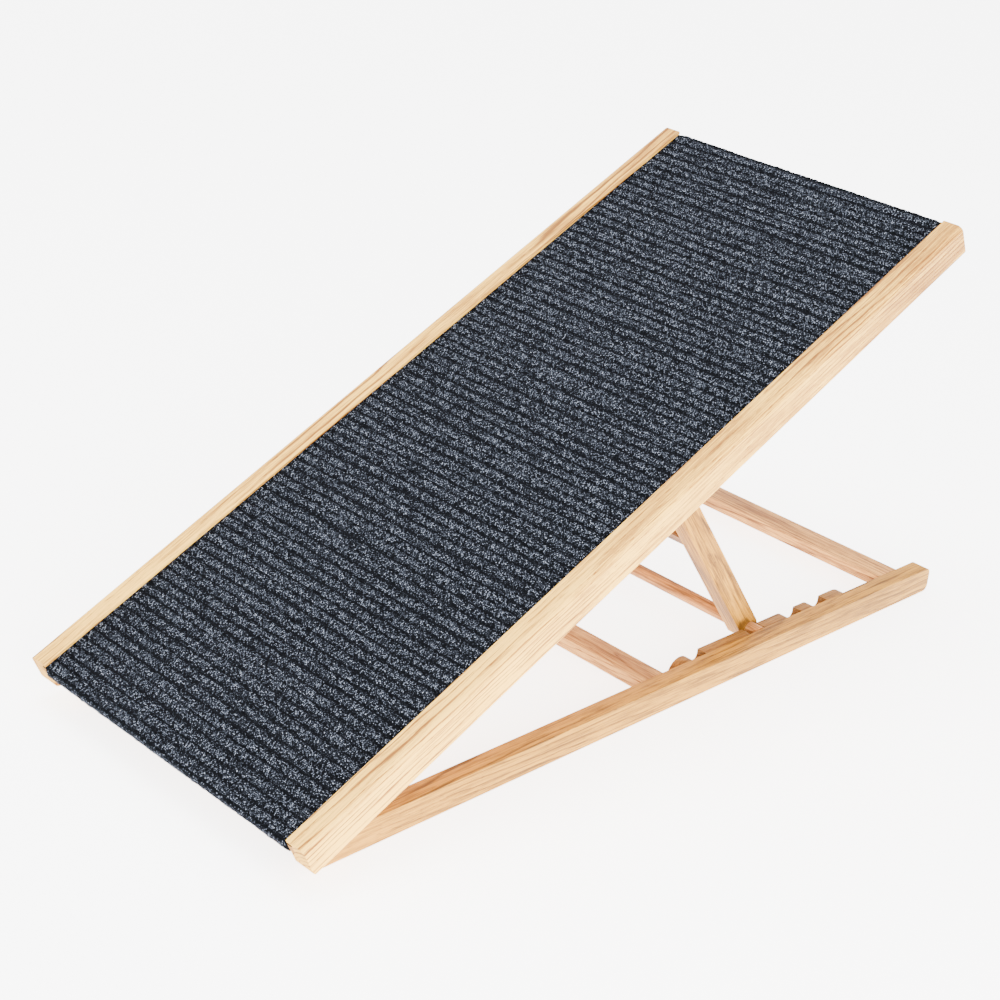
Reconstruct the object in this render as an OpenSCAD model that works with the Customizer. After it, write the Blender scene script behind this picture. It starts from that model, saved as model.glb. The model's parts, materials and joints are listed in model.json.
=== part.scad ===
// Folding pet ramp with a carpeted deck, a prop frame and a notched base frame.
// X runs from the low end to the high end, Y to the left, Z up. The floor is Z = 0.

/* [Deck] */
// Length of the deck along its slope
deck_len = 1000; // [800:10:1200]
// Overall width over the two side rails
deck_w = 435; // [380:5:500]
// Thickness of a side rail
rail_w = 25; // [22:1:30]
// Height of a side rail
rail_h = 36; // [34:1:45]
// Radius of the rail's outer top edge
rail_round = 7; // [3:1:10]
// Height of the lip above the carpet groove
lip_h = 3.3; // [2.5:0.1:4]
// Depth of the groove in the rail
groove_d = 7; // [5:0.5:9]
// Thickness of the deck panel
panel_t = 9; // [8:0.5:12]
// Thickness of the carpet
carpet_t = 3; // [2:0.5:4]
// Length of the carpet flap under each end of the panel
flap_len = 40; // [30:5:40]

/* [Base frame] */
// Length of a base leg
leg_len = 997; // [900:1:1100]
// Thickness of a base leg
leg_w = 22; // [18:1:26]
// Height of a base leg
leg_h = 30.5; // [28:0.5:34]
// Side gap between a leg and the deck rail
side_gap = 1.5; // [1:0.5:3]
// Height of the legs above the floor, on their pads
floor_gap = 0.8; // [0.5:0.1:2]
// Thickness of the cross bars
bar_t = 14; // [12:1:16]
// Width of the front cross bar
front_bar_w = 32; // [26:1:40]
// Width of the rear cross bar
rear_bar_w = 35; // [26:1:40]
// Distance from the deck pivot to the front bar
front_bar_at = 488; // [440:1:510]
// Distance from the deck pivot to the rear bar
rear_bar_at = 912; // [880:1:940]

/* [Notch racks] */
// Thickness of a rack strip
rack_w = 15.5; // [12:0.5:18]
// Height of a rack above its underside
rack_h = 27.3; // [26:0.1:28]
// Distances from the deck pivot to the notches, steepest slope first
notch_at = [586.5, 689.5, 756.5, 804.5];
// Notch that the prop frame stands in
notch_used = 1; // [0:1:3]
// Extra radius of a notch over the foot bar
notch_play = 0.8; // [0.6:0.1:1.2]

/* [Prop frame] */
// Distance from the foot bar to the upper pivot
prop_len = 313; // [300:1:320]
// Width of a prop leg
prop_leg_w = 27; // [24:1:28]
// Thickness of a prop leg
prop_leg_t = 22; // [18:1:24]
// Diameter of the round foot bar
foot_d = 16; // [14:0.5:16]
// Distance up the leg to the cross rail
cross_at = 171; // [140:1:200]
// Thickness of the cross rail
cross_t = 15; // [12:1:18]
// Distance along the deck to the prop's upper pivot
prop_pivot_u = 570; // [560:1:580]

/* [Hardware] */
// Diameter of the pivot bolts
bolt_d = 6; // [5:0.5:8]
// Radial clearance of a turning bolt
run_fit = 0.05; // [0.02:0.01:0.1]
// Radial clearance of a fixed pin, screw or insert
seat_fit = 0.02; // [0.01:0.01:0.05]
// Diameter of the wooden joint pins
pin_d = 6; // [5:1:8]

/* [Hidden] */
$fn = 64;
eps = 0.01;

// The deck pivot, in the deck's own directions and above the floor
pivot_u = 14;
pivot_w = -28.5;
pivot_z = 32.4 + floor_gap;
ear_r = 9.5;
prop_pivot_w = -32;

// Levels across the deck's thickness, measured down from the lip's top
groove_fit = 0.2;
carpet_top = -lip_h - groove_fit;
panel_top = carpet_top - carpet_t;
panel_bot = panel_top - panel_t;
groove_bot = panel_bot - groove_fit;
flap_bot = panel_bot - carpet_t;
fold_gap = 0.3;

// Places across the width, measured from the middle plane
rail_out = deck_w / 2;
rail_in = rail_out - rail_w;
leg_out = rail_in - side_gap;
leg_in = leg_out - leg_w;
rack_in = leg_in - rack_w;
prop_gap = 2.3;
prop_out = rack_in - prop_gap;
prop_in = prop_out - prop_leg_t;
cleat_gap = 1.5;
cleat_t = 15.5;
cleat_out = prop_in - cleat_gap;
cleat_in = cleat_out - cleat_t;
foot_end_gap = 0.8;
foot_half = leg_in - foot_end_gap;
panel_half = rail_in + groove_d - 0.5;
fold_half = rail_in - 0.5;
flap_half = leg_in - 6;

// The closed triangle of deck, prop and base gives the slope of the deck
foot_x = notch_at[notch_used];
foot_z = 23.5 + floor_gap;
arm_u = prop_pivot_u - pivot_u;
arm_w = prop_pivot_w - pivot_w;
arm = norm([arm_u, arm_w]);
reach = norm([foot_x, foot_z - pivot_z]);
corner = acos((arm * arm + reach * reach - prop_len * prop_len) / (2 * arm * reach));
slope = corner + atan2(foot_z - pivot_z, foot_x) - atan2(arm_w, arm_u);
top_x = arm_u * cos(slope) - arm_w * sin(slope);
top_z = pivot_z + arm_u * sin(slope) + arm_w * cos(slope);
prop_angle = atan2(top_z - foot_z, top_x - foot_x);

// The row's origin is under the middle of the whole length
low_x = (-carpet_t - fold_gap - pivot_u) * cos(slope) - (carpet_top - pivot_w) * sin(slope);
high_x = leg_len - ear_r;
mid_x = (low_x + high_x) / 2;

// Rounds on the ends and the under edges of the long boards
leg_end_round = 8;
rail_low_round = 6;
rail_high_round = 3;
rail_under_round = 2.5;

// Rack outline
rack_z = 1 + floor_gap;
rack_top = rack_z + rack_h;
notch_r = foot_d / 2 + notch_play;
tooth_r = 13;
slope_run = 21.5;
horn_r = 18;
tail_r = 26;
tail_flat = 24;

// Battens, cleats, cross bars, pads and their places
bar_drop = 0.5;
batten_w = 30;
batten_t = 14;
batten_at = [60, 500, 930];
batten_screw_y = [-150, 0, 150];
rack_screw_at = [640, 728, 831];
cleat_w = 36;
cleat_r = 13;
cleat_foot_t = 8;
cleat_screw_du = 11;
pad_at = [34, 500, 960];
pad_d = 16;
pad_t = 3;

// Joint pins, their spacing in the cross rail, and the room past their ends
pin_len = 24;
pin_spread = 12;
pin_room = 0.5;

// Screws and nails, each as its shank radius, head radius and length
deck_screw = [2, 4, 22];
rack_screw = [1.75, 3.75, 30];
foot_nail = [0.8, 1.6, 17];

// Staples: width, wire, how deep they bite and how far they stand out
staple_w = 10;
staple_wire = 1.2;
staple_bite = 1;
staple_crown = 0.6;
staple_in = 12;

// Pivot hardware
insert_r = 5;
insert_len = 15;
head_r = 6;
head_h = 3.5;
head_gap = 0.3;
key_r = 2.3;
key_deep = 2;
spacer_r = 8.5;
washer_r = 8;
bore_r = head_r + 0.6;
bore_deep = 3;
nut_r = 5.77;
nut_h = 5;
nut_from = cleat_in - 6.2;

// Base pieces are drawn from the deck pivot's X and the floor
module at_base() translate([-mid_x, 0, 0]) children();

// Deck pieces are drawn flat: X along the deck, Z = 0 at the top of the lip
module on_deck()
    at_base() translate([0, 0, pivot_z]) rotate([0, -slope, 0])
        translate([-pivot_u, 0, -pivot_w]) children();

// Prop pieces are drawn from the foot bar, with X up the leg
module on_prop()
    at_base() translate([foot_x, 0, foot_z]) rotate([0, -prop_angle, 0]) children();

module both_sides() {
    children();
    mirror([0, 1, 0]) children();
}

// Cylinder along Y, from y = from to y = to
module across(r, from, to) translate([0, from, 0]) rotate([-90, 0, 0]) cylinder(r = r, h = to - from);

// What is cut from a corner along X to round it: the corner is at the origin, the body below and left
module round_cut_x(r, len)
    translate([0, -r, -r]) difference() {
        cube([len, r + 1, r + 1]);
        translate([-1, 0, 0]) rotate([0, 90, 0]) cylinder(r = r, h = len + 2);
    }

// The same along Y, for the end of a board, with the body below and behind
module round_cut_y(r, from, to)
    translate([-r, from, -r]) difference() {
        cube([r + 1, to - from, r + 1]);
        translate([0, -1, 0]) rotate([-90, 0, 0]) cylinder(r = r, h = to - from + 2);
    }

// Countersunk screw or nail, head at the origin, pointing down. With room it is its own bore.
module screw(size, room = 0) {
    r = size[0] + room;
    cone_h = size[1] - size[0];
    translate([0, 0, -size[2] - room]) cylinder(r = r, h = size[2] + room - cone_h + eps);
    translate([0, 0, -cone_h]) cylinder(r1 = r, r2 = size[1] + room, h = cone_h);
}

// ---- Base frame ----

// Left leg: a bar with rounded far corners and a raised round ear for the deck pivot.
// Under the ear it is cut back at 45 degrees, so that the deck's low end can swing past.
module base_leg() {
    cut = ear_r / sqrt(2);
    heel_x = pivot_z - 2 * cut - floor_gap;
    difference() {
        union() {
            translate([0, leg_out, 0]) rotate([90, 0, 0]) linear_extrude(leg_w)
                polygon([[-cut, pivot_z - cut], [heel_x, floor_gap], [high_x, floor_gap],
                         [high_x, floor_gap + leg_h], [0, floor_gap + leg_h]]);
            translate([0, 0, pivot_z]) across(ear_r, leg_in, leg_out);
        }
        translate([0, 0, pivot_z]) across(bolt_d / 2 + run_fit, leg_in - 1, leg_out + 1);
        translate([high_x, 0, floor_gap + leg_h]) round_cut_y(leg_end_round, leg_in - 1, leg_out + 1);
        translate([high_x, 0, floor_gap]) mirror([0, 0, 1])
            round_cut_y(leg_end_round, leg_in - 1, leg_out + 1);
        for (x = pad_at)
            translate([x, (leg_in + leg_out) / 2, floor_gap - 1])
                cylinder(r = pad_d / 2 + seat_fit, h = 1 + pad_t - floor_gap);
        bar_pin_holes();
        rack_screw_bores();
    }
}

module bar_pins(r, from, to)
    for (bar = [[front_bar_at, front_bar_w], [rear_bar_at, rear_bar_w]], side = [0.25, 0.75])
        translate([bar[0] + bar[1] * side, 0, floor_gap + leg_h - bar_t / 2 - bar_drop]) across(r, from, to);

module bar_pin_holes()
    bar_pins(pin_d / 2 + seat_fit, leg_in - pin_len / 2 - pin_room, leg_in + pin_len / 2 + pin_room);

module base_leg_left() color("#e3bf94") at_base() base_leg();
module base_leg_right() color("#e3bf94") at_base() mirror([0, 1, 0]) base_leg();

module cross_bar(x, w)
    at_base() difference() {
        translate([x, -leg_in, floor_gap + leg_h - bar_t - bar_drop]) cube([w, 2 * leg_in, bar_t]);
        both_sides() bar_pin_holes();
    }

module base_front_bar() color("#c8a27c") cross_bar(front_bar_at, front_bar_w);
module base_rear_bar() color("#d1ab84") cross_bar(rear_bar_at, rear_bar_w);

module base_bar_pins()
    color("#c9a877") at_base() both_sides()
        bar_pins(pin_d / 2, leg_in - pin_len / 2, leg_in + pin_len / 2);

// ---- Notch racks ----

// One tooth fills from its upright wall to the foot of its rounded back
module tooth(wall, back) {
    translate([wall, rack_in, rack_z]) cube([back - wall, rack_w, rack_h]);
    translate([back, 0, rack_top - tooth_r]) across(tooth_r, rack_in, leg_in);
}

// Horn before the first notch: a quarter round in front, the tooth's round behind
module horn(back) {
    translate([back, 0, rack_top - horn_r]) across(horn_r, rack_in, leg_in);
    translate([back - horn_r, rack_in, rack_z]) cube([horn_r, rack_w, rack_h - horn_r]);
}

// Concave seat in the foot of each upright wall
module seat(x)
    difference() {
        translate([x, rack_in, rack_z]) cube([notch_r, rack_w, foot_z - rack_z]);
        translate([x, 0, foot_z]) across(notch_r, rack_in - 1, leg_in + 1);
    }

module rack() {
    seat_floor = foot_z - notch_r;
    first_back = notch_at[0] - slope_run;
    last_back = notch_at[3] + notch_r + tail_flat;
    difference() {
        union() {
            intersection() {
                horn(first_back);
                translate([first_back - horn_r, rack_in, rack_z]) cube([60, rack_w, rack_h + 1]);
            }
            for (i = [0:3])
                intersection() {
                    tooth(notch_at[i] + notch_r, i < 3 ? notch_at[i + 1] - slope_run : last_back);
                    translate([notch_at[i] + notch_r, rack_in, rack_z]) cube([200, rack_w, rack_h + 1]);
                }
            for (x = notch_at) seat(x);
            translate([first_back, rack_in, rack_z])
                cube([last_back - first_back, rack_w, seat_floor - rack_z]);
            translate([last_back, rack_in, rack_z])
                intersection() {
                    cube([tail_r, rack_w, rack_h]);
                    translate([0, 0, rack_h - tail_r]) across(tail_r, -1, rack_w + 1);
                }
        }
        rack_screw_bores();
    }
}

module rack_screw_places()
    for (x = rack_screw_at)
        translate([x, rack_in, rack_z + 12]) rotate([90, 0, 0]) children();

module rack_screw_bores() rack_screw_places() screw(rack_screw, seat_fit);
module rack_screws() color("#b9bcc0") at_base() both_sides() rack_screw_places() screw(rack_screw);

module notch_rack_left() color("#cba67e") at_base() rack();
module notch_rack_right() color("#cba67e") at_base() mirror([0, 1, 0]) rack();

module floor_pads()
    color("#2b2b2b") at_base() both_sides()
        for (x = pad_at) translate([x, (leg_in + leg_out) / 2, 0]) cylinder(r = pad_d / 2, h = pad_t);

// ---- Deck ----

// Left rail: grooved for the panel, its outer top edge well rounded
module deck_rail() {
    difference() {
        translate([0, rail_in, -rail_h]) cube([deck_len, rail_w, rail_h]);
        translate([-1, rail_in - 1, groove_bot]) cube([deck_len + 2, groove_d + 1, -lip_h - groove_bot]);
        translate([-1, rail_out, 0]) round_cut_x(rail_round, deck_len + 2);
        translate([-1, rail_out, -rail_h]) mirror([0, 0, 1]) round_cut_x(rail_under_round, deck_len + 2);
        translate([0, 0, -rail_h]) mirror([1, 0, 0]) mirror([0, 0, 1])
            round_cut_y(rail_low_round, rail_in - 1, rail_out + 1);
        translate([deck_len, 0, -rail_h]) mirror([0, 0, 1])
            round_cut_y(rail_high_round, rail_in - 1, rail_out + 1);
        translate([pivot_u, 0, pivot_w])
            across(insert_r + seat_fit, rail_in - 1, rail_in + insert_len + pin_room);
        batten_pin_holes();
    }
}

module deck_rail_left() color("#f0dcbe") on_deck() deck_rail();
module deck_rail_right() color("#f0dcbe") on_deck() mirror([0, 1, 0]) deck_rail();

module deck_panel()
    color("#c9a472") on_deck() difference() {
        translate([0, -panel_half, panel_bot]) cube([deck_len, 2 * panel_half, panel_t]);
        batten_screw_places() screw(deck_screw, seat_fit);
        cleat_screw_places() screw(deck_screw, seat_fit);
    }

// Carpet over the panel, folded round both ends and stapled underneath
module carpet_runner()
    color("#33373f") on_deck() difference() {
        end_out = carpet_t + fold_gap;
        union() {
            translate([-end_out, -panel_half, panel_top])
                cube([deck_len + 2 * end_out, 2 * panel_half, carpet_t]);
            for (x = [-end_out, deck_len + fold_gap])
                translate([x, -fold_half, flap_bot])
                    cube([carpet_t, 2 * fold_half, panel_top - flap_bot + eps]);
            for (x = [-end_out, deck_len + end_out - flap_len])
                translate([x, -flap_half, flap_bot]) cube([flap_len, 2 * flap_half, carpet_t]);
        }
        staples(seat_fit);
    }

module staples(room)
    for (x = [flap_len - staple_in, deck_len - flap_len + staple_in], y = [-150:50:150])
        translate([x - staple_wire / 2 - room, y - staple_w / 2 - room, flap_bot - staple_crown])
            cube([staple_wire + 2 * room, staple_w + 2 * room, staple_crown + staple_bite + room]);

module carpet_staples() color("#b9bcc0") on_deck() staples(0);

module batten(x)
    color("#d8b88c") on_deck() difference() {
        translate([x, -rail_in, panel_bot - batten_t]) cube([batten_w, 2 * rail_in, batten_t]);
        both_sides() batten_pin_holes();
        batten_screw_places() screw(deck_screw, seat_fit);
    }

module deck_batten_low() batten(batten_at[0]);
module deck_batten_middle() batten(batten_at[1]);
module deck_batten_high() batten(batten_at[2]);

module batten_screw_places()
    for (x = batten_at, y = batten_screw_y) translate([x + batten_w / 2, y, panel_top]) children();

module batten_screws() color("#b9bcc0") on_deck() batten_screw_places() screw(deck_screw);

module batten_pin_row(r, from, to)
    for (x = batten_at) translate([x + batten_w / 2, 0, panel_bot - batten_t / 2]) across(r, from, to);

module batten_pin_holes()
    batten_pin_row(pin_d / 2 + seat_fit, rail_in - pin_len / 2 - pin_room, rail_in + pin_len / 2 + pin_room);

module batten_pins()
    color("#c9a877") on_deck() both_sides()
        batten_pin_row(pin_d / 2, rail_in - pin_len / 2, rail_in + pin_len / 2);

// ---- Deck pivots ----

module at_deck_pivot() on_deck() both_sides() translate([pivot_u, 0, pivot_w]) children();

module deck_pivot_bolts()
    color("#8d9094") at_deck_pivot() difference() {
        union() {
            across(bolt_d / 2, leg_in - 1, rail_in + insert_len - 1);
            across(head_r, leg_in - head_gap - head_h, leg_in - head_gap);
        }
        translate([0, leg_in - head_gap - head_h - 1, 0]) rotate([-90, 0, 0])
            cylinder(r = key_r, h = key_deep + 1, $fn = 6);
    }

module deck_pivot_washers()
    color("#e8e8e6") at_deck_pivot() difference() {
        across(spacer_r, leg_out + 0.4, rail_in - 0.1);
        across(bolt_d / 2 + run_fit, leg_out - 1, rail_in + 1);
    }

module deck_pivot_inserts()
    color("#b08d3c") at_deck_pivot() difference() {
        across(insert_r, rail_in, rail_in + insert_len);
        across(bolt_d / 2 + seat_fit, rail_in - 1, rail_in + insert_len + 1);
    }

// ---- Prop pivots under the deck ----

// Left cleat: a block with a round lower end that carries the pivot bolt
module prop_cleat()
    difference() {
        union() {
            translate([prop_pivot_u - cleat_w / 2, cleat_in, panel_bot - cleat_foot_t])
                cube([cleat_w, cleat_t, cleat_foot_t]);
            translate([prop_pivot_u - cleat_r, cleat_in, prop_pivot_w])
                cube([2 * cleat_r, cleat_t, panel_bot - prop_pivot_w]);
            translate([prop_pivot_u, 0, prop_pivot_w]) across(cleat_r, cleat_in, cleat_out);
        }
        translate([prop_pivot_u, 0, prop_pivot_w]) across(bolt_d / 2 + seat_fit, cleat_in - 1, cleat_out + 1);
        cleat_screw_places() screw(deck_screw, seat_fit);
    }

module cleat_screw_places()
    for (x = [-cleat_screw_du, cleat_screw_du], side = [-1, 1])
        translate([prop_pivot_u + x, side * (cleat_in + cleat_out) / 2, panel_top]) children();

module prop_cleat_left() color("#d8b88c") on_deck() prop_cleat();
module prop_cleat_right() color("#d8b88c") on_deck() mirror([0, 1, 0]) prop_cleat();
module cleat_screws() color("#b9bcc0") on_deck() cleat_screw_places() screw(deck_screw);

module at_prop_pivot() on_deck() both_sides() translate([prop_pivot_u, 0, prop_pivot_w]) children();

module prop_pivot_bolts()
    color("#8d9094") at_prop_pivot() {
        across(bolt_d / 2, cleat_in - 8, prop_out - bore_deep + 0.5);
        across(head_r, prop_out - bore_deep + head_gap, prop_out - head_gap);
    }

module prop_pivot_washers()
    color("#b9bcc0") at_prop_pivot() {
        difference() {
            across(washer_r, cleat_out + 0.05, cleat_out + cleat_gap - 0.4);
            across(bolt_d / 2 + seat_fit, cleat_out - 1, cleat_out + 2);
        }
        difference() {
            across(washer_r, cleat_in - 1.2, cleat_in);
            across(bolt_d / 2 + seat_fit, cleat_in - 2, cleat_in + 1);
        }
    }

module prop_pivot_nuts()
    color("#8d9094") at_prop_pivot() difference() {
        translate([0, nut_from, 0]) rotate([-90, 0, 0]) cylinder(r = nut_r, h = nut_h, $fn = 6);
        across(bolt_d / 2 + seat_fit, cleat_in - 8, cleat_in);
    }

// ---- Prop frame ----

// Left leg: a bar rounded about the foot bar and about the upper pivot
module prop_leg()
    difference() {
        union() {
            translate([0, prop_in, -prop_leg_w / 2]) cube([prop_len, prop_leg_t, prop_leg_w]);
            for (x = [0, prop_len]) translate([x, 0, 0]) across(prop_leg_w / 2, prop_in, prop_out);
        }
        across(foot_d / 2 + seat_fit, prop_in - 1, prop_out + 1);
        translate([prop_len, 0, 0]) across(bolt_d / 2 + run_fit, prop_in - 1, prop_out + 1);
        translate([prop_len, 0, 0]) across(bore_r, prop_out - bore_deep, prop_out + 1);
        rail_pin_holes();
        foot_nail_places() screw(foot_nail, seat_fit);
    }

module prop_leg_left() color("#e1bd94") on_prop() prop_leg();
module prop_leg_right() color("#e1bd94") on_prop() mirror([0, 1, 0]) prop_leg();

module rail_pins(r, from, to)
    for (z = [-pin_spread / 2, pin_spread / 2])
        translate([cross_at + cross_t / 2, 0, z]) across(r, from, to);

module rail_pin_holes()
    rail_pins(pin_d / 2 + seat_fit, prop_in - pin_len / 2 - pin_room, prop_in + pin_len / 2 + pin_room);

module prop_cross_rail()
    color("#c09a78") on_prop() difference() {
        translate([cross_at, -prop_in, -prop_leg_w / 2 + 1]) cube([cross_t, 2 * prop_in, prop_leg_w - 1]);
        both_sides() rail_pin_holes();
    }

module prop_rail_pins()
    color("#c9a877") on_prop() both_sides()
        rail_pins(pin_d / 2, prop_in - pin_len / 2, prop_in + pin_len / 2);

module foot_nail_places()
    for (side = [-1, 1]) translate([0, side * (prop_in + prop_out) / 2, prop_leg_w / 2]) children();

module prop_foot_bar()
    color("#d4ab83") on_prop() difference() {
        across(foot_d / 2, -foot_half, foot_half);
        foot_nail_places() screw(foot_nail, seat_fit);
    }

module foot_bar_nails() color("#b9bcc0") on_prop() foot_nail_places() screw(foot_nail);

base_leg_left();
base_leg_right();
base_front_bar();
base_rear_bar();
notch_rack_left();
notch_rack_right();
rack_screws();
base_bar_pins();
floor_pads();
deck_rail_left();
deck_rail_right();
deck_panel();
carpet_runner();
carpet_staples();
deck_batten_low();
deck_batten_middle();
deck_batten_high();
batten_screws();
batten_pins();
deck_pivot_bolts();
deck_pivot_washers();
deck_pivot_inserts();
prop_cleat_left();
prop_cleat_right();
cleat_screws();
prop_pivot_bolts();
prop_pivot_washers();
prop_pivot_nuts();
prop_leg_left();
prop_leg_right();
prop_cross_rail();
prop_rail_pins();
prop_foot_bar();
foot_bar_nails();
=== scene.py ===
# %% [markdown]
# A folding pet ramp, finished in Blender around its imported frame.
# The frame already holds every board, bolt and screw at its real size, so nothing is
# measured by eye here. The work that is left is what a maker does by hand: easing the
# sharp edges of the boards, laying the ribbed carpet, and giving each piece its own grain.

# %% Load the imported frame
import json
import math

import bpy
import numpy as np
from mathutils import Matrix, Vector


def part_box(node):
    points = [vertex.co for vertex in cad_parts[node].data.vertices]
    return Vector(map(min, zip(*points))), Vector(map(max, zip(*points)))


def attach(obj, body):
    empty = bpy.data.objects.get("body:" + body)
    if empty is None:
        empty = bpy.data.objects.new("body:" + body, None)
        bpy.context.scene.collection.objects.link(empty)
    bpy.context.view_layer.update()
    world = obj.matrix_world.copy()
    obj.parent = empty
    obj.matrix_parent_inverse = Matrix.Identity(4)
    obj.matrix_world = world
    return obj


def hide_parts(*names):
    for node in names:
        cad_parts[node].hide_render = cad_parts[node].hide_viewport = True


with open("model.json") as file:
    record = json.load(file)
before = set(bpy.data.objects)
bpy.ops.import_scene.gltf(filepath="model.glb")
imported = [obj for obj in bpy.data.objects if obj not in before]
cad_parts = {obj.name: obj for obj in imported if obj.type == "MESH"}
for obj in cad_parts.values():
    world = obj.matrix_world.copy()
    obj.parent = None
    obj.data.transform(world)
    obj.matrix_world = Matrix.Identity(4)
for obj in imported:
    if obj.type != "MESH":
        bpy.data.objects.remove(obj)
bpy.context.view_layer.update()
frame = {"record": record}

# %% [markdown]
# The camera comes first, because every later choice of detail depends on how large a
# piece looks. It stands to the right of the low end, a little over a metre high, and
# looks along the slope of the deck. A long lens keeps the two side rails nearly parallel.
# A turn about the camera's own axis is easiest to write as a matrix of three directions:
# right, up and backwards.

# %% Camera
CAMERA_AT = Vector((-1.5711, -1.4126, 1.1634))
CAMERA_HEADING = math.radians(43.48)
CAMERA_DOWN = math.radians(24.43)
CAMERA_ROLL = math.radians(5.52)
LENS_MM, SENSOR_MM = 77.1, 36
LENS_SHIFT = (0.0094, -0.0243)
FARTHEST = 30

ahead = Vector((
    math.cos(CAMERA_HEADING) * math.cos(CAMERA_DOWN),
    math.sin(CAMERA_HEADING) * math.cos(CAMERA_DOWN),
    -math.sin(CAMERA_DOWN),
))
level_right = Vector((math.sin(CAMERA_HEADING), -math.cos(CAMERA_HEADING), 0))
level_up = level_right.cross(ahead)
right = level_right * math.cos(CAMERA_ROLL) + level_up * math.sin(CAMERA_ROLL)
up = level_up * math.cos(CAMERA_ROLL) - level_right * math.sin(CAMERA_ROLL)

camera = bpy.data.objects.new("camera", bpy.data.cameras.new("camera"))
bpy.context.scene.collection.objects.link(camera)
axes = Matrix((right, up, -ahead)).transposed().to_4x4()
camera.matrix_world = Matrix.Translation(CAMERA_AT) @ axes
camera.data.sensor_width = SENSOR_MM
camera.data.lens = LENS_MM
camera.data.shift_x, camera.data.shift_y = LENS_SHIFT
camera.data.clip_end = FARTHEST
bpy.context.scene.camera = camera

# %% [markdown]
# Three families of boards lie in three directions: the base frame flat on the floor, the
# deck on its slope and the prop frame leaning back. Grain runs along each board, so every
# material needs its board's own directions. They are read from the frame: the slope from
# two battens that sit square under the deck, and the lean from the prop's foot and hinge.

# %% Directions of the boards
hinge_at = {j["name"]: Vector(j["pos_m"]) for j in frame["record"]["behaviour"]["joints"]}


def centre(node):
    """The middle of a node's box, in metres."""
    low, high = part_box(node)
    return (Vector(low) + Vector(high)) / 2


X, Y, Z = Vector((1, 0, 0)), Vector((0, 1, 0)), Vector((0, 0, 1))
deck_run = centre("deck_batten_high") - centre("deck_batten_low")
slope = math.atan2(deck_run.z, deck_run.x)
DECK_ALONG = Vector((math.cos(slope), 0, math.sin(slope)))
DECK_UP = Vector((-math.sin(slope), 0, math.cos(slope)))
PROP_ALONG = (hinge_at["prop_fold"] - centre("prop_foot_bar")).normalized()
PROP_UP = Vector((-PROP_ALONG.z, 0, PROP_ALONG.x))
PIVOT_ALONG, PIVOT_DOWN = 0.014, 0.0285  # from the low end of the rails' top line
deck_origin = hinge_at["deck_tilt"] - DECK_ALONG * PIVOT_ALONG + DECK_UP * PIVOT_DOWN
print("deck slope in degrees:", round(math.degrees(slope), 2))

# %% [markdown]
# Shader maths reads best as sums. This small class holds one output socket, and each
# operator adds the Math node that does it, so `1 - mask * 0.4` builds its own nodes.
# Vectors and colours never go through Math, which would turn them grey.


# %% Shader expressions
class Wire:
    """One socket of a material, with Python's operators for its arithmetic."""

    def __init__(self, nodes, socket):
        self.nodes = nodes
        self.socket = socket

    def math(self, operation, *values):
        return self.nodes.add("ShaderNodeMath", {"operation": operation}, {
            i: v for i, v in enumerate(values)
        })

    def __add__(self, other):
        return self.math("ADD", self, other)

    def __sub__(self, other):
        return self.math("SUBTRACT", self, other)

    def __rsub__(self, other):
        return self.math("SUBTRACT", other, self)

    def __mul__(self, other):
        return self.math("MULTIPLY", self, other)

    def __truediv__(self, other):
        return self.math("DIVIDE", self, other)

    def __abs__(self):
        return self.math("ABSOLUTE", self)

    def fraction(self):
        return self.math("FRACT", self)

    def at_least(self, other):
        return self.math("MAXIMUM", self, other)

    def at_most(self, other):
        return self.math("MINIMUM", self, other)

    __radd__ = __add__
    __rmul__ = __mul__


class Finish:
    """A material under construction: every node but arithmetic comes from add()."""

    def __init__(self, name):
        self.material = bpy.data.materials.new(name)
        self.material.use_nodes = True
        self.tree = self.material.node_tree
        self.shader = self.tree.nodes["Principled BSDF"]

    def add(self, kind, settings, inputs, output=0):
        node = self.tree.nodes.new(kind)
        for key, value in settings.items():
            if key == "stops":
                ramp = node.color_ramp
                while len(ramp.elements) < len(value):
                    ramp.elements.new(0.5)
                for element, (at, tone) in zip(ramp.elements, value):
                    element.position = at
                    grey = isinstance(tone, float)
                    element.color = (tone, tone, tone, 1) if grey else (*tone, 1)
            else:
                setattr(node, key, value)
        for key, value in inputs.items():
            self.feed(node.inputs[key], value)
        return Wire(self, node.outputs[output])

    def feed(self, socket, value):
        if isinstance(value, Wire):
            self.tree.links.new(value.socket, socket)
        else:
            socket.default_value = value

    def set(self, **values):
        for key, value in values.items():
            self.feed(self.shader.inputs[key.replace("_", " ")], value)

    def place(self):
        return self.add("ShaderNodeTexCoord", {}, {}, "Object")

    def dot(self, vector, direction):
        return self.add("ShaderNodeVectorMath", {"operation": "DOT_PRODUCT"},
                        {0: vector, 1: tuple(direction)}, "Value")

    def vector(self, x, y, z):
        return self.add("ShaderNodeCombineXYZ", {}, {0: x, 1: y, 2: z})

    def noise(self, vector, scale=1.0, detail=2.0, roughness=0.5):
        return self.add("ShaderNodeTexNoise", {}, {
            "Vector": vector, "Scale": scale, "Detail": detail, "Roughness": roughness,
        })

    def ramp(self, value, *stops):
        return self.add("ShaderNodeValToRGB", {"stops": stops}, {0: value})

    def mix(self, factor, first, second, blend="MIX"):
        return self.add("ShaderNodeMix", {"data_type": "RGBA", "blend_type": blend},
                        {0: factor, 6: first, 7: second}, 2)

    def bump(self, height, depth):
        return self.add("ShaderNodeBump", {}, {"Height": height, "Distance": depth})


def linear(red, green, blue):
    """A colour as mixed on paper, 0 to 255, in the linear light that shaders use."""
    def one(v):
        v = v / 255
        return v / 12.92 if v < 0.04045 else ((v + 0.055) / 1.055) ** 2.4
    return (one(red), one(green), one(blue), 1.0)


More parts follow.
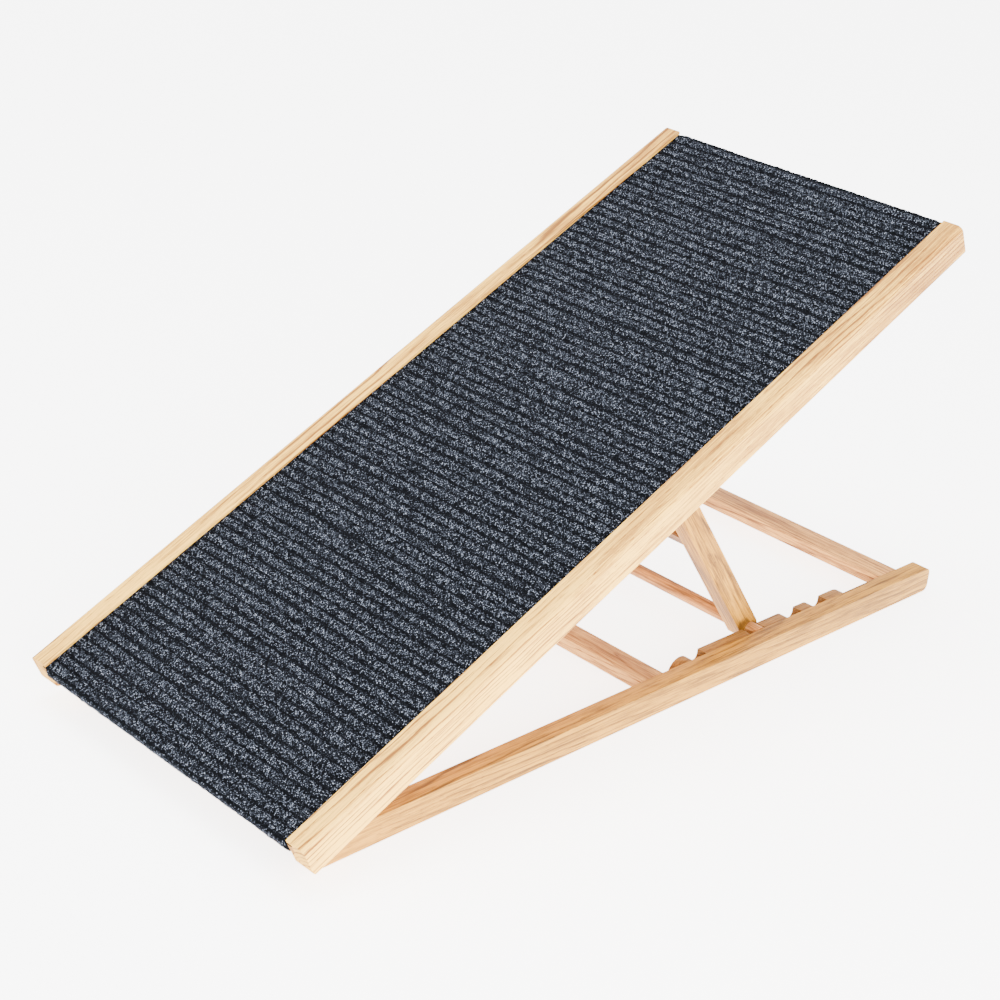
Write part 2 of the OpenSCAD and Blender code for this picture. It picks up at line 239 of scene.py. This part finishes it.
# %% [markdown]
# Softwood is a stack of growth rings round a pith that lies outside the board. If the
# pith runs a little askew, a flat face cuts the rings into long arches, and a face square
# to them shows straight stripes. So the grain is a solid pattern: the distance to a
# leaning pith line, warped by slow noise, and cut into rings. It needs no UVs, it turns
# every corner correctly, and the end of a board shows arcs with no extra work.
# Finer layers follow: fibres, short dark pores, and a tone that darkens along the board, which on
# the rails is painted shade falling off toward the high end together with darker grain there.
# All of them only say how deep the tone is, and one ramp turns that into colour. Its
# steps are equal ratios, because the eye reads light in ratios and not in sums. Studio
# light is strong and washes colour out, so the tones are mixed deeper than they look.


# %% Wood
MM = 1000.0
TONES = 5
WOOD_BUMP = 0.00018
SEED_MIX = (71, 113, 37)
END_EARLY, END_LATE = (0.70, 0.66, 0.60, 1), (0.40, 0.32, 0.25, 1)

# What a noise varies with: its scale along the grain, and across it, per millimetre.
SLOW, QUICK = (0.0045, 0.03), (0.02, 0.12)
FIBRE, HAIR, DASH = (0.016, 0.8), (0.06, 2.4), (0.11, 1.1)
CLOUD, STREAK = (0.008, 0.05), (0.017, 0.22)

# How the layers weigh: ring wander in mm, then steps of tone, then heights of the bump.
QUICK_WANDER, UNEVEN_YEARS = 2.4, 1.5
FIBRE_TONE, HAIR_TONE, CLOUD_TONE = 2.1, 0.9, 1.0
FIBRE_HIGH, LATE_HIGH, DASH_HIGH, HAIR_HIGH = 0.7, -0.35, -0.8, 0.3
LATE_WOOD = ((0.0, 0.10), (0.12, 0.0), (0.66, 0.08), (0.90, 1.0), (1.0, 0.2))


def wood(name, at, along, flat, light, dark, ring=4.0, pith=(30.0, -45.0), askew=0.02,
         wander=7.0, lines=0.7, streaks=0.5, pores=0.7, deep=0.25, drift=0.0, gloss=0.42):
    f = Finish(name)
    place = f.place()
    moved = f.add("ShaderNodeVectorMath", {"operation": "SUBTRACT"}, {0: place, 1: tuple(at)})
    run = f.dot(moved, along * MM)
    side = f.dot(moved, along.cross(flat) * MM)
    lift = f.dot(moved, flat * MM)
    seed = sum(abs(a) * m for a, m in zip(at, SEED_MIX)) % 17 + at.y * 3

    def drawn_out(scales, shift=(seed, 0.0, 0.0), **layer):
        """Noise stretched along the grain."""
        axes = (run * scales[0], side * scales[1], lift * scales[1])
        return f.noise(f.vector(*(a + d if d else a for a, d in zip(axes, shift))), **layer)

    slow = drawn_out(SLOW, detail=2.0)
    quick = drawn_out(QUICK, detail=3.0)
    from_pith = f.vector(0.0, side - pith[0], lift - pith[1])
    radius = f.add("ShaderNodeVectorMath", {"operation": "LENGTH"}, {0: from_pith}, "Value")
    radius = radius + run * askew + (slow - 0.5) * (wander * 2) + (quick - 0.5) * QUICK_WANDER
    year = radius / ring
    widths = f.noise(f.vector(year * 0.37, seed, 0.0), detail=0.0)
    late = f.ramp((year + widths * UNEVEN_YEARS).fraction(), *LATE_WOOD)
    strong = f.noise(f.vector(year * 0.13 + run * 0.004, seed, 2.0))
    strong = f.ramp(strong, (0.40, 0.15), (0.62, 1.0))

    fibre = drawn_out(FIBRE, detail=5.0, roughness=0.7)
    hair = drawn_out(HAIR, (0.0, 0.0, seed), detail=2.0)
    dash = drawn_out(DASH, detail=1.5)
    dashes = f.ramp(dash, (0.60, 0.0), (0.68, 1.0)) * (0.2 + late * 0.8)
    cloud = drawn_out(CLOUD, (0.0, seed, 0.0), detail=2.0)
    streak = drawn_out(STREAK, (seed, 0.0, 4.0), detail=3.0)
    streak = f.ramp(streak, (0.46, 0.0), (0.66, 1.0))

    depth = late * strong * lines * (0.3 + fibre * 1.3) + streak * streaks * (0.4 + fibre * 1.2)
    depth = depth + (fibre - 0.5) * FIBRE_TONE + (hair - 0.5) * HAIR_TONE
    # The drift term darkens the tone along the board: on the rails it is painted shade toward the
    # high end, mixed with darker grain there.
    depth = depth + (cloud - 0.5) * CLOUD_TONE + deep + run * drift + dashes * pores
    steps = [i / (TONES - 1) for i in range(TONES)]
    tones = [tuple(a * (b / a) ** t for a, b in zip(light, dark)) for t in steps]
    colour = f.ramp(depth, *zip(steps, tones))

    facing = f.add("ShaderNodeTexCoord", {}, {}, "Normal")
    end_face = abs(f.dot(facing, along))
    end_grain = f.ramp(end_face, (0.72, 0.0), (0.94, 1.0))
    end_tone = f.mix(late * 0.5, END_EARLY, END_LATE)
    colour = f.mix(end_grain, colour, f.mix(1.0, colour, end_tone, "MULTIPLY"))

    f.set(Base_Color=colour, Roughness=gloss + fibre * 0.16 + end_grain * 0.25)
    f.set(Specular_IOR_Level=0.15)
    f.set(Normal=f.bump(fibre * FIBRE_HIGH + late * LATE_HIGH + dashes * DASH_HIGH
                        + hair * HAIR_HIGH, WOOD_BUMP))
    return f.material


# %% [markdown]
# The saw leaves an edge sharp, and a maker eases it with sandpaper before the varnish
# goes on, because a sharp edge chips and hurts paws. That thin round edge is what catches
# the light. The frame's boards have true sharp edges, so each is copied, its loose
# triangles are merged and flattened into whole faces, and a narrow bevel goes on the
# edges that turn by more than 40 degrees. Rounds that the frame already has stay as they are.


# %% Ease the edges of a board
SAME_POINT = 0.00002
FLAT_TURN, SHARP_TURN, SMOOTH_TURN = (math.radians(turn) for turn in (0.6, 40, 35))
BEVEL_STEPS = 3


def only(obj):
    bpy.ops.object.select_all(action="DESELECT")
    obj.select_set(True)
    bpy.context.view_layer.objects.active = obj


def eased(node, body, edge):
    source = bpy.data.objects[node]
    board = bpy.data.objects.new(node + "_eased", source.data.copy())
    bpy.context.scene.collection.objects.link(board)
    only(board)
    bpy.ops.object.mode_set(mode="EDIT")
    bpy.ops.mesh.select_all(action="SELECT")
    bpy.ops.mesh.remove_doubles(threshold=SAME_POINT)
    bpy.ops.mesh.dissolve_limited(angle_limit=FLAT_TURN)
    bpy.ops.object.mode_set(mode="OBJECT")
    bevel = board.modifiers.new("edge", "BEVEL")
    bevel.width = edge
    bevel.segments = BEVEL_STEPS
    bevel.limit_method = "ANGLE"
    bevel.angle_limit = SHARP_TURN
    bevel.use_clamp_overlap = True
    bevel.miter_outer = "MITER_ARC"
    bpy.ops.object.modifier_apply(modifier="edge")
    bpy.ops.object.shade_smooth_by_angle(angle=SMOOTH_TURN)
    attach(board, body)
    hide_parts(node)
    next(s["material_slot"] for s in frame["record"]["subparts"]
                        if s["node"] == node)
    return board


def dress(obj, material):
    obj.data.materials.clear()
    obj.data.materials.append(material)


def board(node, body, edge, **grain):
    piece = eased(node, body, edge)
    dress(piece, wood(node + "_wood", centre(node), **grain))
    print(node, len(piece.data.polygons), "faces")


# %% [markdown]
# The deck's two rails are the palest wood of the ramp, cut with long straight grain.
# Their lips catch the light beside the dark carpet, so their edges are eased the least.

# %% Deck rails
# The last number darkens each rail toward its high end: painted shade where the light falls off,
# together with darker grain there.
for side, pith, drift in (("left", (-30.0, -40.0), 0.0002), ("right", (30.0, -40.0), 0.0005)):
    board("deck_rail_" + side, "deck", 0.0008, along=DECK_ALONG, flat=DECK_UP,
          light=(0.95, 0.545, 0.085), dark=(0.22, 0.082, 0.014), ring=4.8, pith=pith, askew=0.014,
          wander=5.0, lines=1.6, streaks=0.10, deep=0.10, drift=drift)

# %% [markdown]
# The base frame is a warmer wood with wide flame grain. The cross bars are flat-sawn
# boards: their pith lies close under the top face and leans, which draws arches along it.

# %% Base frame
for side, pith in (("left", (22.0, -30.0)), ("right", (-24.0, -34.0))):
    board("base_leg_" + side, "base", 0.0010, along=X, flat=Z, light=(0.52, 0.250, 0.024),
          dark=(0.14, 0.058, 0.005), ring=4.4, pith=pith, askew=0.02, wander=7.0, lines=0.85,
          streaks=0.34, deep=0.10)

for node, pith, askew, light in (("base_front_bar", (3.0, -16.0), 0.07, (0.62, 0.34, 0.10)),
                                 ("base_rear_bar", (26.0, -22.0), 0.02, (0.72, 0.37, 0.10))):
    board(node, "base", 0.0009, along=Y, flat=Z, light=light, dark=(0.15, 0.055, 0.018),
          ring=5.0, pith=pith, askew=askew, wander=6.0, lines=0.7, streaks=0.2, deep=0.18)

for side in ("left", "right"):
    board("notch_rack_" + side, "base", 0.0006, along=X, flat=Z, light=(0.36, 0.178, 0.042),
          dark=(0.10, 0.041, 0.011), pith=(8.0, -40.0), wander=5.0, lines=0.5, streaks=0.2)

# %% [markdown]
# The prop frame swings under the deck. Its legs show a wide face with long arches, its
# cross rail is a darker strip, and its foot bar is turned round, so its grain runs
# straight through with no bevel but on the end edges.

# %% Prop frame
for side, pith in (("left", (30.0, 6.0)), ("right", (-26.0, 4.0))):
    board("prop_leg_" + side, "prop", 0.0009, along=PROP_ALONG, flat=PROP_UP,
          light=(0.54, 0.250, 0.021), dark=(0.11, 0.042, 0.004), ring=4.6, pith=pith, askew=0.05,
          wander=6.0, lines=0.95, streaks=0.30, deep=0.10)
board("prop_cross_rail", "prop", 0.0009, along=Y, flat=PROP_UP, light=(0.36, 0.185, 0.07),
      dark=(0.10, 0.044, 0.018), ring=4.5, pith=(20.0, -24.0), askew=0.03)
board("prop_foot_bar", "prop", 0.0008, along=Y, flat=Z, light=(0.66, 0.31, 0.09),
      dark=(0.19, 0.075, 0.022), ring=3.6, pith=(12.0, -20.0), askew=0.01, wander=3.0)

# %% [markdown]
# Under the deck are the plain boards that hold it square: three battens, and the two
# cleats that carry the prop frame's bolts. They are planed pine with little varnish. The
# panel is thin plywood, whose face veneer has wide soft rings.

# %% Boards under the deck
UNDER_LIGHT, UNDER_DARK = (0.74, 0.40, 0.13), (0.24, 0.095, 0.032)
for node in ("deck_batten_low", "deck_batten_middle", "deck_batten_high"):
    board(node, "deck", 0.0009, along=Y, flat=DECK_UP, light=UNDER_LIGHT, dark=UNDER_DARK,
          ring=5.0, pith=(14.0, -28.0), askew=0.04, gloss=0.52)
for side in ("left", "right"):
    board("prop_cleat_" + side, "deck", 0.0007, along=DECK_ALONG, flat=DECK_UP,
          light=UNDER_LIGHT, dark=UNDER_DARK, pith=(18.0, -20.0), gloss=0.52)
board("deck_panel", "deck", 0.0005, along=DECK_ALONG, flat=DECK_UP, light=(0.66, 0.37, 0.13),
      dark=(0.27, 0.12, 0.042), ring=14.0, pith=(40.0, -60.0), askew=0.05, wander=26.0,
      lines=0.5, pores=0.3, gloss=0.6)

# %% [markdown]
# The carpet is a needle-felt runner with ribs across it that give paws a grip. It is
# stretched over the panel and folded round both ends. Walking along its length, only two
# things change: the point of the panel that it lies on, and the way that it faces. Both
# are straight-line steps, so one small function gives every point of cloth and pile, and
# each fold comes out as a true arc about the panel's edge.

# %% The way round the panel
PANEL_TOP = -0.0065
PANEL_UNDER = -0.0155
DECK_LENGTH = 1.0
FLAP = 0.0367
BACKING = 0.0012
PILE = 0.0017
INNER = 0.00005

quarter = math.pi / 2
knots = [
    (FLAP, PANEL_UNDER, -1), (0, PANEL_UNDER, -1), (0, PANEL_UNDER, -2),
    (0, PANEL_TOP, -2), (0, PANEL_TOP, -3), (DECK_LENGTH, PANEL_TOP, -3),
    (DECK_LENGTH, PANEL_TOP, -4), (DECK_LENGTH, PANEL_UNDER, -4),
    (DECK_LENGTH, PANEL_UNDER, -5), (DECK_LENGTH - FLAP, PANEL_UNDER, -5),
]
knot_u, knot_w, knot_turn = (np.array(column, float) for column in zip(*knots))
steps = np.hypot(np.diff(knot_u), np.diff(knot_w)) + BACKING * quarter * np.abs(np.diff(knot_turn))
knot_s = np.concatenate([[0], np.cumsum(steps)])
CLOTH_LENGTH = float(knot_s[-1])

# Half width of the cloth: full under the rails' lips, cut in at the ends, and cut in
# again on the flaps, so that the base frame's legs pass beside them.
HALF_TOP, HALF_FOLD, HALF_FLAP = 0.1985, 0.192, 0.163


def half_width(s):
    s = np.minimum(s, CLOTH_LENGTH - s)
    return np.where(s < knot_s[1], HALF_FLAP, np.where(s < knot_s[4], HALF_FOLD, HALF_TOP))


def lay(s, across, height):
    """Points of the carpet: s along the cloth, across it, and height above the panel."""
    u = np.interp(s, knot_s, knot_u)
    w = np.interp(s, knot_s, knot_w)
    turn = np.interp(s, knot_s, knot_turn) * quarter
    u = u + np.cos(turn) * height
    w = w + np.sin(turn) * height
    origin, along, lifted = (np.array(v) for v in (deck_origin, DECK_ALONG, DECK_UP))
    return (origin + u[..., None] * along + w[..., None] * lifted
            + across[..., None] * np.array(Y))


print("cloth length in metres:", round(CLOTH_LENGTH, 4))

# %% [markdown]
# The backing is a sheet: a grid is laid along that way and given its thickness with
# Solidify. Rows are added just before and after each fold, and through it, so that the
# arcs stay round.

# %% Backing
COLUMNS, EVEN_ROWS, FOLD_ROWS = 24, 120, 7
SHORT_STEP = 0.02
BESIDE_FOLD = 0.0002
MICRON = 6  # decimals of a metre

rows = sorted(
    set(np.round(np.linspace(0, CLOTH_LENGTH, EVEN_ROWS), MICRON))
    | {round(float(a + (b - a) * t), MICRON)
       for a, b in zip(knot_s, knot_s[1:]) if b - a < SHORT_STEP
       for t in np.linspace(0, 1, FOLD_ROWS)}
    | {round(float(s + d), MICRON) for s in knot_s[1:-1] for d in (-BESIDE_FOLD, BESIDE_FOLD)}
)
bpy.ops.mesh.primitive_grid_add(x_subdivisions=COLUMNS, y_subdivisions=len(rows) - 1, size=1)
backing = bpy.context.active_object
backing.name = "carpet_backing"
grid = np.empty(len(backing.data.vertices) * 3)
backing.data.vertices.foreach_get("co", grid)
grid = grid.reshape(-1, 3)
row_s = np.array(rows)[np.rint((grid[:, 1] + 0.5) * (len(rows) - 1)).astype(int)]
cloth = lay(row_s, grid[:, 0] * 2 * half_width(row_s), np.full(len(row_s), BACKING))
backing.data.vertices.foreach_set("co", cloth.ravel())
backing.data.update()
only(backing)
bpy.ops.object.mode_set(mode="EDIT")
bpy.ops.mesh.select_all(action="SELECT")
bpy.ops.mesh.normals_make_consistent(inside=False)
bpy.ops.object.mode_set(mode="OBJECT")
middle = max(backing.data.polygons, key=lambda face: face.center.dot(DECK_UP))
outward = 1 if middle.normal.dot(DECK_UP) > 0 else -1
solid = backing.modifiers.new("cloth", "SOLIDIFY")
solid.thickness = BACKING - INNER
solid.offset = -outward
bpy.ops.object.modifier_apply(modifier="cloth")
bpy.ops.object.shade_smooth_by_angle(angle=math.radians(40))

# %% [markdown]
# Each rib is a low rounded bank of felted pile, with a narrow dark valley on each side.
# Fibres never lie even, so every point is moved a little by a seeded random draw: the
# rib as a whole wanders, each tuft jumps, and the top is uneven. A rib is a closed tube.
# Its base sinks into the backing, and both ends are drawn down and capped.

# %% Shape of one rib
RIBS = round(CLOTH_LENGTH / 0.0126)
PITCH = CLOTH_LENGTH / RIBS
TUFT = 0.0022
SECTION = np.sin(np.linspace(-1, 1, 11) * quarter) / 2
HOLD = 1 - np.abs(SECTION * 2) ** 3
BANK = 1 - np.abs(SECTION * 2) ** 3.4
SPREAD = 0.97
WANDER, JUMP, ALONG, ACROSS = 0.00024, 0.00045, 0.00022, 0.00028
SINK = 0.0002
EDGE_GAP = 0.0004
END_DROP = 0.3
felt = np.random.default_rng(19)


def rib_surface(number):
    """One rib as three arrays: place along the cloth, place across it, and height."""
    middle_s = (number + 0.5) * PITCH
    half = float(half_width(middle_s)) - EDGE_GAP
    n = round(2 * half / TUFT)
    across = np.linspace(-half, half, n + 1)[:, None] * np.ones(len(SECTION))
    wave = np.cumsum(felt.normal(0, WANDER, n + 1))[:, None]
    wave = wave - np.linspace(wave[0], wave[-1], n + 1)
    wave = wave + felt.normal(0, JUMP, (n + 1, 1))
    s = middle_s + SECTION * PITCH * SPREAD + wave * HOLD
    uneven = 0.80 + 0.16 * np.clip(felt.normal(0, 1, s.shape), -1.6, 1.2)
    height = BACKING - SINK + (PILE + SINK) * BANK * uneven
    height[[0, -1]] = BACKING - SINK + (height[[0, -1]] - BACKING) * END_DROP
    s = np.clip(s + felt.normal(0, ALONG, s.shape) * BANK, SINK, CLOTH_LENGTH - SINK)
    across = across + felt.normal(0, ACROSS, s.shape) * BANK
    edge = half_width(s) - EDGE_GAP
    return s, np.clip(across, -edge, edge), height


print("ribs:", RIBS, "and their pitch in mm:", round(PITCH * MM, 2))

# %% [markdown]
# Many ribs go into one mesh. Two values are stored on it for the material: how high a
# point stands, and its place on the flat cloth.


# %% Ribs
def tube_faces(base, rings, count):
    """Faces of a closed tube whose points are numbered from base, ring after ring."""
    j, k = np.meshgrid(np.arange(rings), np.arange(count), indexing="ij")
    a = base + j * count + k
    b = base + j * count + (k + 1) % count
    caps = [[base + k for k in range(count)][::-1],
            [base + rings * count + k for k in range(count)]]
    return np.stack([a, b, b + count, a + count], -1).reshape(-1, 4).tolist() + caps


def ribs(name, first, last):
    points, faces, heights, cloth_uv = [], [], [], []
    base = 0
    for number in range(first, last):
        s, across, height = rib_surface(number)
        points.append(lay(s, across, height).reshape(-1, 3))
        heights.append(((height - BACKING) / PILE).ravel())
        cloth_uv.append(np.stack([s, across], -1).reshape(-1, 2))
        faces += tube_faces(base, len(s) - 1, len(SECTION))
        base += s.size
    mesh = bpy.data.meshes.new(name)
    mesh.from_pydata(np.concatenate(points).tolist(), [], faces)
    pile = bpy.data.objects.new(name, mesh)
    bpy.context.scene.collection.objects.link(pile)
    only(pile)
    bpy.ops.object.mode_set(mode="EDIT")
    bpy.ops.mesh.select_all(action="SELECT")
    bpy.ops.mesh.normals_make_consistent(inside=False)
    bpy.ops.object.mode_set(mode="OBJECT")
    bpy.ops.object.shade_smooth()
    stored = mesh.attributes.new("pile_height", "FLOAT", "POINT")
    stored.data.foreach_set("value", np.concatenate(heights))
    uv = mesh.uv_layers.new(name="cloth")
    corner = np.empty(len(mesh.loops), int)
    mesh.loops.foreach_get("vertex_index", corner)
    uv.data.foreach_set("uv", np.concatenate(cloth_uv)[corner].ravel())
    print(name, "triangles:", sum(len(p.vertices) - 2 for p in mesh.polygons))
    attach(pile, "deck")
    return pile


QUARTERS = ("low", "lower_middle", "upper_middle", "high")
pile_pieces = [
    ribs("carpet_ribs_" + word, RIBS * i // len(QUARTERS), RIBS * (i + 1) // len(QUARTERS))
    for i, word in enumerate(QUARTERS)
]

# %% [markdown]
# Charcoal felt is never one colour. Its yarn is spun from near-black, slate and pale grey
# fibre, so each tuft, about two millimetres across, takes its own tone. A Voronoi pattern
# on the cloth's flat map gives the tufts, its distance darkens their joints, and a fine
# noise breaks the edges up. The stored height paints shade into the low valleys between
# ribs, where little light reaches.


# %% Carpet finish
TUFTS_PER_MM, SPECKS_PER_MM, FUZZ_PER_MM = 0.60, 1.15, 0.8
FUZZ_BEND = (1.6, 1.2)
LOT_TONE, SPECK_TONE, VALLEY_SHADE_TONE = 0.58, 1.8, 0.30
VALLEY_SHADE_TOP = 0.85
YARN = (
    (0.12, (0.0020, 0.0023, 0.0030)), (0.26, (0.0075, 0.0085, 0.0115)),
    (0.39, (0.028, 0.032, 0.042)), (0.53, (0.090, 0.103, 0.132)),
    (0.70, (0.24, 0.27, 0.34)), (0.90, (0.66, 0.72, 0.84)),
)
WEAVE_PER_M = 900.0
CARPET_BUMP, BACKING_BUMP = 0.0006, 0.0003
CARPET_SHINE = 0.02


def carpet_finish():
    f = Finish("ribbed_carpet")
    flat = f.add("ShaderNodeUVMap", {"uv_map": "cloth"}, {})
    at = f.add("ShaderNodeVectorMath", {"operation": "SCALE"}, {0: flat, "Scale": MM})
    fuzz = f.noise(at, scale=FUZZ_PER_MM, detail=3.0)
    bend = f.vector(fuzz * FUZZ_BEND[0], fuzz * FUZZ_BEND[1], 0.0)
    bent = f.add("ShaderNodeVectorMath", {"operation": "ADD"}, {0: at, 1: bend})
    tufts = {"voronoi_dimensions": "2D", "feature": "F1"}
    near = {"Vector": bent, "Scale": TUFTS_PER_MM, "Randomness": 0.95}
    joint = f.add("ShaderNodeTexVoronoi", tufts, near, "Distance")
    own = f.add("ShaderNodeTexVoronoi", tufts, near, "Color")
    lot = f.dot(own, (1, 0, 0))
    speck = f.noise(at, scale=SPECKS_PER_MM, detail=3.0, roughness=0.6)
    height = f.add("ShaderNodeAttribute", {"attribute_name": "pile_height"}, {}, "Fac")
    loop = (1.25 - joint * 1.5).at_least(0.0)
    tone = loop * (0.125 + lot * LOT_TONE) + (speck - 0.5) * SPECK_TONE
    # Painted shade: points that lie low between the ribs are darkened.
    tone = tone + (height.at_most(VALLEY_SHADE_TOP) - VALLEY_SHADE_TOP) * VALLEY_SHADE_TONE
    f.set(Base_Color=f.ramp(tone, *YARN), Roughness=0.9, Specular_IOR_Level=CARPET_SHINE)
    f.set(Normal=f.bump(tone, CARPET_BUMP))
    return f.material


def backing_finish():
    f = Finish("carpet_backing_felt")
    weave = f.noise(f.place(), scale=WEAVE_PER_M, detail=3.0)
    f.set(Base_Color=f.mix(weave, linear(6, 6, 8), linear(20, 22, 26)), Roughness=0.95)
    f.set(Normal=f.bump(weave, BACKING_BUMP), Specular_IOR_Level=CARPET_SHINE)
    return f.material


felt_finish = carpet_finish()
for pile in pile_pieces:
    dress(pile, felt_finish)
dress(backing, backing_finish())
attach(backing, "deck")
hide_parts("carpet_runner")
flat_area = 2 * float(half_width(0.5)) * (knot_s[5] - knot_s[4])
flat_area += 4 * HALF_FOLD * (knot_s[4] - knot_s[1]) + 4 * HALF_FLAP * knot_s[1]
print("carpet cut, width by length:", 2 * HALF_TOP, round(CLOTH_LENGTH, 3))

# %% [markdown]
# The hardware keeps its meshes from the frame, because its shapes are already exact. Zinc
# plate is grey and faintly mottled, bright screws are shinier, brass is warm, and nylon
# washers and rubber pads are matt. Small noise in the roughness stops each from looking
# like one flat paint. Wooden pins show only their end grain.

# %% Hardware
MOTTLE_PER_M, SCRATCH_PER_M, CLOUD_PER_M = 260.0, 1400.0, 90.0
METAL_BUMP, MOULDED_BUMP = 0.00005, 0.00015


def metal(name, tone, rough, worn):
    f = Finish(name)
    place = f.place()
    mottle = f.noise(place, scale=MOTTLE_PER_M, detail=4.0)
    scratch = f.noise(place, scale=SCRATCH_PER_M, detail=2.0)
    f.set(Base_Color=f.mix(mottle, tone, worn), Metallic=1.0, Roughness=rough + mottle * 0.2)
    f.set(Normal=f.bump(scratch, METAL_BUMP))
    return f.material


def moulded(name, tone, dusty, rough, grain):
    f = Finish(name)
    place = f.place()
    cloud = f.noise(place, scale=CLOUD_PER_M, detail=3.0)
    fine = f.noise(place, scale=grain, detail=2.0)
    f.set(Base_Color=f.mix(cloud, tone, dusty), Roughness=rough + cloud * 0.15)
    f.set(Normal=f.bump(fine, MOULDED_BUMP))
    return f.material


zinc = metal("zinc_plate", linear(168, 170, 172), 0.28, linear(128, 130, 134))
bright = metal("bright_steel", linear(196, 197, 198), 0.2, linear(150, 152, 156))
brass = metal("brass", linear(196, 160, 92), 0.3, linear(150, 112, 58))
nylon = moulded("nylon", linear(232, 231, 226), linear(214, 212, 204), 0.42, 900.0)
rubber = moulded("rubber", linear(34, 34, 36), linear(60, 59, 58), 0.7, 1300.0)
hardware = {
    "deck_pivot_bolts": zinc, "prop_pivot_bolts": zinc, "prop_pivot_nuts": zinc,
    "prop_pivot_washers": bright, "carpet_staples": bright, "rack_screws": bright,
    "batten_screws": bright, "cleat_screws": bright, "foot_bar_nails": bright,
    "deck_pivot_inserts": brass, "deck_pivot_washers": nylon, "floor_pads": rubber,
}
for node, finish in hardware.items():
    dress(bpy.data.objects[node], finish)
print("finished pieces of hardware:", len(hardware))

for node, flat in (("base_bar_pins", Z), ("batten_pins", DECK_UP), ("prop_rail_pins", PROP_UP)):
    dress(bpy.data.objects[node], wood(node + "_wood", centre(node), along=Y, flat=flat,
          light=(0.66, 0.34, 0.11), dark=(0.24, 0.10, 0.034), ring=2.5, gloss=0.55))

# %% [markdown]
# The stage is a plain pale floor that glows a little, like a light table, under an even
# white sky. The large soft light stands on the camera's right, low enough to light the
# outer side of the near rail, and a weaker one overhead models the tops of the boards.

# %% Floor and light
FLOOR_SIZE, FLOOR_DROP = 60, 0.0002
FLOOR_TONE, FLOOR_GLOW, SKY_GLOW = 0.93, 4.4, 2.6
WHITE = (1.0, 1.0, 1.0, 1)

bpy.ops.mesh.primitive_plane_add(size=FLOOR_SIZE, location=(0, 0, -FLOOR_DROP))
floor = bpy.context.active_object
floor.name = "floor"
paper = Finish("pale_floor")
paper.set(Base_Color=(FLOOR_TONE, FLOOR_TONE, FLOOR_TONE, 1), Roughness=0.9,
          Specular_IOR_Level=0.0, Emission_Color=WHITE, Emission_Strength=FLOOR_GLOW)
dress(floor, paper.material)

world = bpy.data.worlds.new("studio")
bpy.context.scene.world = world
world.use_nodes = True
sky = world.node_tree.nodes["Background"]
sky.inputs["Color"].default_value = WHITE
sky.inputs["Strength"].default_value = SKY_GLOW


def softbox(name, at, aim, size, watts):
    lamp = bpy.data.lights.new(name, "AREA")
    lamp.shape = "DISK"
    lamp.size = size
    lamp.energy = watts
    box = bpy.data.objects.new(name, lamp)
    bpy.context.scene.collection.objects.link(box)
    turn = (Vector(aim) - Vector(at)).to_track_quat("-Z", "Y")
    box.matrix_world = Matrix.Translation(at) @ turn.to_matrix().to_4x4()
    print(name, "light:", watts, "watts")


softbox("key", (-1.2, -2.7, 1.2), (-0.2, 0, 0.2), 1.6, 190)
softbox("overhead", (-0.6, 0.4, 3.4), (0, 0, 0.2), 2.0, 110)
